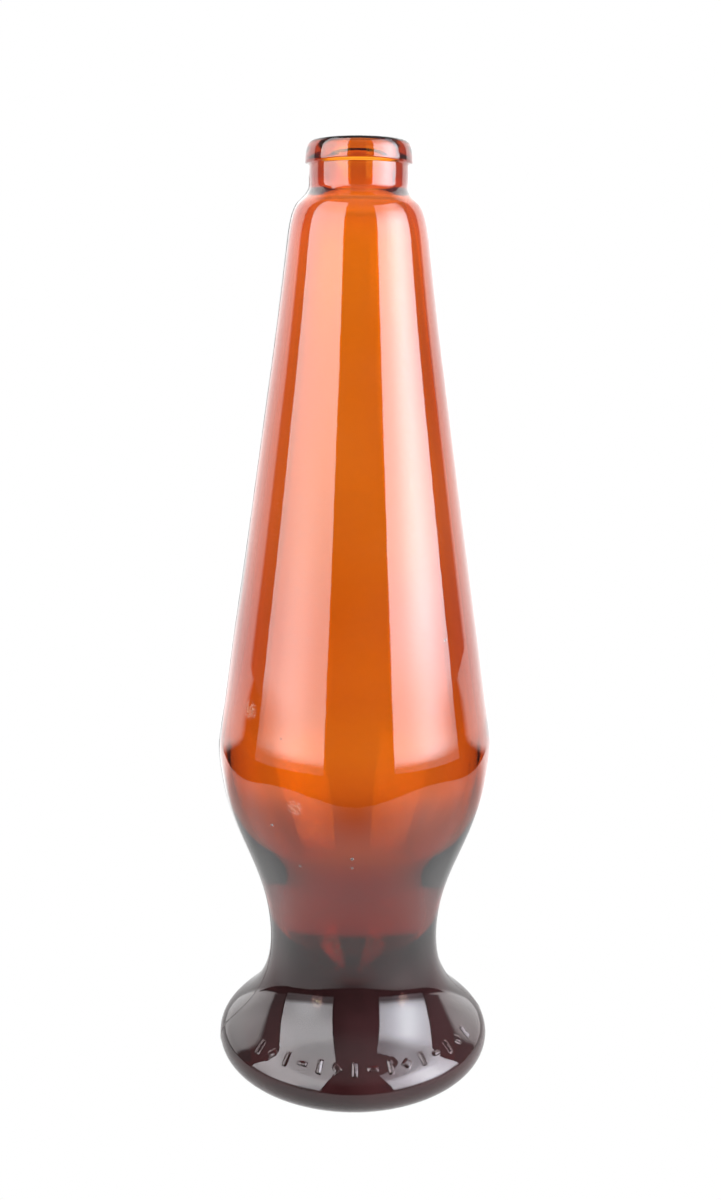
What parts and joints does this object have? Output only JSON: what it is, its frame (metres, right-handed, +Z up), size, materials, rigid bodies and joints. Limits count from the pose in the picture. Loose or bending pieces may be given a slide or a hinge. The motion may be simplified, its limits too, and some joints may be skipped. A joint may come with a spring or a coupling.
{
  "type": "glass bottle",
  "caption": "Open amber glass bottle with a lava lamp outline: crown-cap neck, long cone, bulge, waist and a heavy flared foot with a row of raised marks.",
  "frame": {"origin": "centre of the flat ring that the bottle stands on", "axes": "+Z up along the bottle's axis, towards the mouth; -Y is the front in the picture"},
  "size_m": [0.0734, 0.0734, 0.2419],
  "materials": {
    "amber_glass": "clear, glossy"
  },
  "bodies": {
    "root": {"glass_bottle": "amber_glass"}
  },
  "joints": []
}
